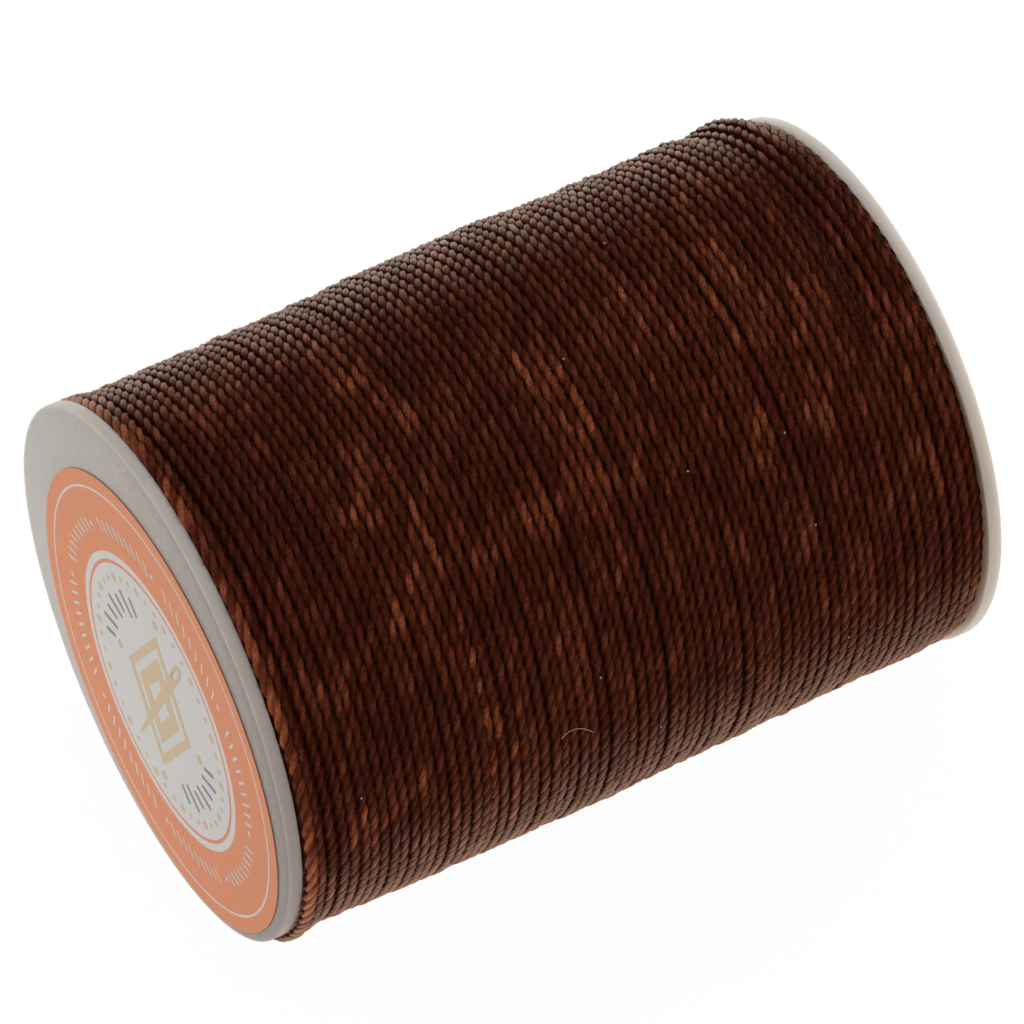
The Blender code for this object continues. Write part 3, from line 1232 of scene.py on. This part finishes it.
    def _loft(self, name, length, centre, outward, tone) -> bpy.types.Object:
        """Sweep the three-ply section along a stretch of the route as a closed mesh.

        Args:
            name: The piece's name.
            length: The thread's length at every ring.
            centre: The centre of every ring.
            outward: The outward direction at every ring.
            tone: The tone of the three plies at every ring.

        Returns:
            The piece, with its attributes and its UV map.
        """
        angles, radii, plies, ridges = self._section()
        tangent = np.gradient(centre, axis=0)
        tangent /= np.linalg.norm(tangent, axis=1, keepdims=True)
        normal = outward - tangent * (outward * tangent).sum(axis=1, keepdims=True)
        normal /= np.linalg.norm(normal, axis=1, keepdims=True)
        side = np.cross(tangent, normal)
        drift = SmoothNoise(self.seed + 3).line(length / self.drift_length, 60)
        twist = 2 * math.pi * (length / self.twist_length + self.twist_drift * drift)
        turned = angles[None, :] + twist[:, None]
        reach = radii[None, :] * self._lobes(length)[:, plies]
        up = reach * np.cos(turned)
        across = reach * np.sin(turned)
        high = (up * self.half_height)[:, :, None] * normal[:, None, :]
        wide = (across * self.half_width)[:, :, None] * side[:, None, :]
        points = centre[:, None, :] + high + wide
        rings, sides = len(length), len(angles)
        ring = np.arange(rings - 1)[:, None] * sides
        column = np.arange(sides)[None, :]
        after = (column + 1) % sides
        quads = [ring + column, ring + after, ring + sides + after, ring + sides + column]
        caps = [column[0, ::-1], (rings - 1) * sides + column[0]]
        corners = np.concatenate([np.stack(quads, axis=2).ravel(), *caps])
        counts = np.concatenate([np.full((rings - 1) * sides, 4), [sides, sides]])
        starts = np.concatenate([[0], np.cumsum(counts)[:-1]])
        mesh = bpy.data.meshes.new(name)
        mesh.vertices.add(rings * sides)
        mesh.vertices.foreach_set("co", points.astype(np.float32).ravel())
        mesh.loops.add(len(corners))
        mesh.loops.foreach_set("vertex_index", corners.astype(np.int32))
        mesh.polygons.add(len(counts))
        mesh.polygons.foreach_set("loop_start", starts.astype(np.int32))
        mesh.polygons.foreach_set("use_smooth", np.ones(len(counts), bool))
        mesh.update(calc_edges=True)
        # Painted light and shade: painted_crown_light is 1 on the thread's top and beside the front
        # flange, and falls to 0 down the sides and between plies, where the material paints the
        # groove shade.
        painted_crown_light = np.maximum(self._on_top(across), self._painted_flange_light(points[:, :, 0]))
        shares = {"tone": tone[:, plies], "painted_crown_light": painted_crown_light * (0.38 + 0.62 * ridges)}
        for label, values in (*shares.items(), ("ridge", painted_crown_light * ridges)):
            attribute = mesh.attributes.new(label, "FLOAT", "POINT")
            attribute.data.foreach_set("value", values.astype(np.float32).ravel())
        self._store_lay(mesh, length, corners, sides)
        return link(name, mesh)

    def _lobes(self, length: np.ndarray) -> np.ndarray:
        """Return how far each of the three plies swells or thins at every ring."""
        noise = SmoothNoise(self.seed + 5)
        plies = [noise.line(length / self.lobe_length, 40 + 23 * ply) for ply in range(3)]
        return 1.0 + self.lobe_swing * np.stack(plies, axis=1)

    def _on_top(self, across: np.ndarray) -> np.ndarray:
        """Return 1 on top of the thread, eased down to 0 at its sides.

        Args:
            across: How far each point lies to the thread's side, in half widths.

        Returns:
            The share at each point.
        """
        out = np.abs(across) * self.half_width / self.half_pitch
        return 1.0 - ease(np.clip((out - 0.25) / 0.8, 0.0, 1.0))

    def _painted_flange_light(self, along: np.ndarray) -> np.ndarray:
        """Return 1 where the thread faces the front flange, else 0: painted light that the flange's
        plastic would throw on it.
        """
        return np.clip((self.flange_side - along) / self.flange_side_fade, 0.0, 1.0)

    @staticmethod
    def _store_lay(mesh: bpy.types.Mesh, length: np.ndarray, corners: np.ndarray, sides: int):
        """Keep a UV map that runs along the plies and round the thread."""
        centimetres = (length[corners // sides] - length[0]) * 100
        first = np.arange(len(corners)) % 4
        wraps = (corners % sides == 0) & ((first == 1) | (first == 2))
        pairs = np.stack([centimetres, corners % sides / sides + wraps], axis=1)
        layer = mesh.uv_layers.new(name="lay")
        layer.data.foreach_set("uv", pairs.astype(np.float32).ravel())


@dataclass
class Dust:
    """Pale dust on the thread: one short curved fibre and some specks, as one piece.

    Places are in millimetres along the axis and in degrees round it.
    """

    profile: Profile = Profile()
    radius: float = 0.02 * MM
    speck: float = 0.06 * MM
    stand: float = 0.03 * MM
    finish: MattFinish = MattFinish("pale_lint", from_srgb(180, 156, 134), 0.8)
    fibre: tuple[tuple[float, float], ...] = (
        (-5.7, 173.5), (-5.2, 172.2), (-4.6, 172.6), (-4.1, 174.0), (-3.8, 175.5),
    )
    specks: tuple[tuple[float, float], ...] = (
        (1.5, 101.3), (7.5, 79.0), (0.4, 183.0), (12.2, 182.0), (-17.4, 167.0),
        (4.9, 131.0), (10.8, 131.5), (10.9, 151.0), (-3.0, 163.0),
    )

    def build(self) -> None:
        """Model the fibre and the specks and join them."""
        parts = [self._fibre()]
        for along, degrees in self.specks:
            deselect_all()
            bpy.ops.mesh.primitive_ico_sphere_add(subdivisions=2, radius=self.speck)
            parts.append(bpy.context.active_object)
            place_mesh(parts[-1], Matrix.Translation(self._spot(along, degrees)))
        piece = join("dust_fibres", parts)
        smooth(piece, 60)
        dress(piece, self.finish.build(), "outer_thread")

    def _spot(self, along: float, degrees: float) -> Vector:
        """Return the place on top of the thread at a distance along and an angle."""
        angle = math.radians(degrees)
        proud = float(self.profile.proud(np.array(along * MM), np.array(angle)))
        reach = SPOOL.flange_radius + proud + self.stand
        return Vector((along * MM, *polar(reach, angle))) + MIDDLE

    def _fibre(self) -> bpy.types.Object:
        """Model the fibre as a round bevelled curve and turn it into a mesh."""
        data = bpy.data.curves.new("fibre", "CURVE")
        data.dimensions = "3D"
        data.bevel_depth = self.radius
        data.bevel_resolution = 2
        data.use_fill_caps = True
        line = data.splines.new("NURBS")
        line.points.add(len(self.fibre) - 1)
        for point, (along, degrees) in zip(line.points, self.fibre):
            point.co = (*self._spot(along, degrees), 1.0)
        line.use_endpoint_u = True
        activate(link("fibre", data))
        bpy.ops.object.convert(target="MESH")
        return bpy.context.active_object


@dataclass
class InnerCore:
    """The plain body of thread below the layers that are wound."""

    depth: float = 1.25 * MM
    segments: int = 128

    def build(self, material: bpy.types.Material) -> None:
        """Model the core as a ring round the barrel."""
        start = SPOOL.front_inner + SPOOL.fit_gap / 2
        end = SPOOL.rear_inner - SPOOL.fit_gap / 2
        radii = (SPOOL.flange_radius - self.depth, SPOOL.barrel_radius + SPOOL.fit_gap / 2)
        piece = model_ring("thread_core", self.segments, *radii, end - start)
        place_mesh(piece, SPOOL.bench(Side.REAR, (start + end) / 2))
        smooth(piece)
        dress(piece, material, "inner_thread", "inner_windings")


# Studio -----------------------------------------------------------------------------------


@dataclass
class Camera:
    """The camera, at the photograph's angle and distance, counted in flange radii."""

    azimuth: float = math.radians(-29.3)
    elevation: float = math.radians(49.18)
    distance: float = 22.652
    right_shift: float = 0.008
    up_shift: float = 0.041
    flange_radius: float = 15.5 * MM
    lens: float = 226.4
    sensor: float = 36.0

    def build(self) -> None:
        """Place the camera."""
        swing, flat = self.azimuth, math.cos(self.elevation)
        back = Vector((math.sin(swing) * flat, -math.cos(swing) * flat, math.sin(self.elevation)))
        right = Vector((math.cos(swing), math.sin(swing), 0.0))
        above = back.cross(right)
        offset = back * self.distance + right * self.right_shift + above * self.up_shift
        data = bpy.data.cameras.new("camera")
        data.lens = self.lens
        data.sensor_width = self.sensor
        data.clip_start = 0.01
        data.clip_end = 10.0
        camera = link("camera", data)
        aim(camera, MIDDLE + offset * self.flange_radius, -back)
        bpy.context.scene.camera = camera


@dataclass(frozen=True)
class Lamp:
    """One soft area lamp, aimed at the spool."""

    name: str
    place: tuple[float, float, float]
    size: float
    power: float
    colour: Colour

    def build(self) -> None:
        """Add the lamp."""
        data = bpy.data.lights.new(self.name, "AREA")
        data.shape = "DISK"
        data.size = self.size
        data.energy = self.power
        data.color = self.colour
        aim(link(self.name, data), Vector(self.place), MIDDLE - Vector(self.place))


@dataclass
class Studio:
    """A white table under soft lamps, with a white surround that is dimmer overhead."""

    table_size: float = 3.0
    table_back: float = 1.35
    table_front: float = 0.39
    front_start: float = 0.01
    front_end: float = -0.09
    horizon_back: float = 1.0
    horizon_front: float = 0.2
    zenith: float = 0.26
    horizon_height: float = 0.0
    zenith_height: float = 0.28
    shadow_share: float = 0.03
    near: float = 0.012
    far: float = 0.034
    paint: Colour = (0.86, 0.86, 0.86)
    warm: Colour = (1.0, 0.91, 0.82)
    lamps: tuple[Lamp, ...] = (
        Lamp("left_softbox", (-0.50, 0.10, 0.40), 0.40, 1.2, (1.0, 0.99, 0.97)),
        Lamp("right_softbox", (0.50, 0.10, 0.40), 0.40, 1.2, (1.0, 0.99, 0.97)),
        Lamp("front_softbox", (0.10, -0.60, 0.15), 0.50, 1.1, (1.0, 0.86, 0.74)),
    )

    def build(self) -> None:
        """Set up the table, the lamps, the surround and the view."""
        self._table()
        self._surround()
        for lamp in self.lamps:
            lamp.build()
        bpy.context.scene.view_settings.view_transform = "Standard"

    def _table(self) -> None:
        """Lay a white table that shows a faint soft shadow and fades to plain white."""
        deselect_all()
        bpy.ops.mesh.primitive_plane_add(size=self.table_size)
        table = bpy.context.active_object
        table.name = "white_table"
        material, sheet, _ = new_material("white_table")
        material.node_tree.nodes.clear()
        seen = sheet.seen()
        place = sheet.place()
        span = (self.front_end, self.front_start, self.table_front, self.table_back)
        light = sheet.remap(sheet.split(place)["Y"], *span)
        plain = sheet.maths("MULTIPLY", sheet.maths("SUBTRACT", 1.0, seen), light)
        shine = {
            "Color": sheet.mix(seen, self.warm, WHITE),
            "Strength": sheet.maths("ADD", plain, seen),
        }
        glow = sheet.add("ShaderNodeEmission", shine)
        diffuse = sheet.add("ShaderNodeBsdfDiffuse", {"Color": self.paint})
        away = sheet.vector("LENGTH", place)
        shade = sheet.remap(away, self.near, self.far, self.shadow_share, 0.0)
        factor = sheet.maths("SUBTRACT", 1.0, sheet.maths("MULTIPLY", seen, shade))
        parts = {0: factor, 1: diffuse.outputs[0], 2: glow.outputs[0]}
        mixed = sheet.add("ShaderNodeMixShader", parts)
        sheet.add("ShaderNodeOutputMaterial", {"Surface": mixed.outputs[0]})
        table.data.materials.append(material)

    def _surround(self) -> None:
        """Make the world plain white to the eye, and as light dimmer overhead."""
        world = bpy.data.worlds.new("white_surround")
        world.use_nodes = True
        sheet = NodeSheet(world.node_tree)
        seen = sheet.seen()
        way = sheet.split(sheet.add("ShaderNodeTexCoord").outputs["Generated"])
        side = sheet.remap(way["Y"], 0.0, 0.7, self.horizon_front, self.horizon_back)
        rim = sheet.maths("SUBTRACT", side, self.zenith)
        band = sheet.remap(way["Z"], self.horizon_height, self.zenith_height, 1.0, 0.0)
        light = sheet.maths("MULTIPLY_ADD", rim, band, self.zenith)
        inputs = {
            "Color": sheet.mix(seen, self.warm, WHITE),
            "Strength": sheet.maths("MAXIMUM", seen, light),
        }
        sheet.feed(world.node_tree.nodes["Background"], inputs)
        bpy.context.scene.world = world


# In both plastics the second colour is the painted shade tint of the face, and the low rim colour
# is painted shade.
FRONT_PLASTIC = FrostedPlastic(
    "front_plastic", from_srgb(173, 175, 178), from_srgb(120, 115, 114)
)
REAR_PLASTIC = FrostedPlastic(
    "rear_plastic",
    from_srgb(205, 202, 198),
    from_srgb(196, 190, 184),
    rim=from_srgb(212, 209, 207),
    painted_low_rim_shade=from_srgb(178, 178, 180),
    subsurface=1.0,
    depth=2.0 * MM,
)
SHADED_THREAD = MattFinish(
    "inner_thread",
    from_srgb(62, 23, 10),
    roughness=0.6,
    roughness_swing=0.1,
    mottling=0.6,
    fine=8000.0,
    coarse=2500.0,
    grain_span=0.2,
    bump=0.3,
    bump_depth=0.02 * MM,
    specular=0.1,
)
UNDER_LAYER = ThreadLayer(
    "under_layer",
    rings_per_twist=8,
    ply_angles=(-60.0, 0.0),
    sink=0.21 * MM,
    phase=0.5,
    bands=2,
    seed=23,
)
OUTER_LAYER = ThreadLayer(
    "outer_layer",
    wanders=(
        Wander(0, 1, 30, 250, 60, -0.28 * MM, 0.18 * MM),
        Wander(2, 2, 40, 240, 60, -0.12 * MM, 0.0),
        Wander(63, 64, -50, 150, 40, -0.03 * MM, -0.08 * MM),
        Wander(65, 66, -50, 150, 40, 0.02 * MM, 0.04 * MM),
        Wander(67, 69, 80, 175, 30, 0.04 * MM, 0.10 * MM),
    ),
    patches=(
        DyePatch(-9.8, 87, 1.4, 2.5, 0.25),
        DyePatch(-10.4, 102, 4.6, 4.0, 0.18, slope=-0.7),
        DyePatch(-12.8, 113, 0.8, 4.0, 0.45, slope=-1.5),
        DyePatch(-14.4, 138, 2.4, 2.2, 0.58, slope=-1.6),
        DyePatch(-4.8, 128, 6.0, 5.0, 0.34, slope=-0.5),
        DyePatch(1.6, 126, 2.6, 5.0, 0.50),
        DyePatch(-9.5, 124, 0.3, 9.0, 0.55),
        DyePatch(-0.9, 100, 0.35, 9.0, 0.42),
        DyePatch(0.9, 104, 1.6, 8.0, 0.26, slope=-1.0),
        DyePatch(11.8, 96, 1.9, 6.0, 0.26),
        DyePatch(13.0, 129, 0.7, 6.0, 0.50),
        DyePatch(10.3, 150, 0.5, 7.0, 0.50, slope=-3.0),
        DyePatch(-16.5, 79, 0.4, 4.0, 0.36),
        DyePatch(18.6, 118, 0.35, 24.0, 0.42),
        # Next to the front flange: partly lighter dye, partly painted light that the flange's
        # plastic would throw on the first turns.
        DyePatch(-20.7, 104, 0.75, 60.0, 0.85),
        DyePatch(-17.9, 104, 2.6, 22.0, -0.24),
        DyePatch(-14.0, 165, 2.6, 12.0, -0.16),
        DyePatch(-20.5, 192, 0.6, 26.0, 0.62),
        DyePatch(-20.3, 134, 1.0, 10.0, 0.62),
        DyePatch(20.6, 80, 0.8, 45.0, 0.34),
        DyePatch(4.8, 95, 3.4, 8.0, 0.24),
        DyePatch(-13.5, 170, 0.9, 4.0, 0.34),
    ),
)


def main() -> None:
    """Build the spool, its thread and the studio."""
    logging.basicConfig(level=logging.INFO, format="%(name)s: %(message)s")
    Flange(Side.FRONT).build(FRONT_PLASTIC.build())
    rear_plastic = REAR_PLASTIC.build()
    Flange(Side.REAR).build(rear_plastic)
    Barrel().build(rear_plastic)
    Label().build()
    shaded = SHADED_THREAD.build()
    InnerCore().build(shaded)
    UNDER_LAYER.build(shaded, "inner_thread", "inner_windings")
    OUTER_LAYER.build(WaxedThread().build(), "outer_thread", "outer_windings")
    Dust().build()
    Camera().build()
    Studio().build()


if __name__ == "__main__":
    main()
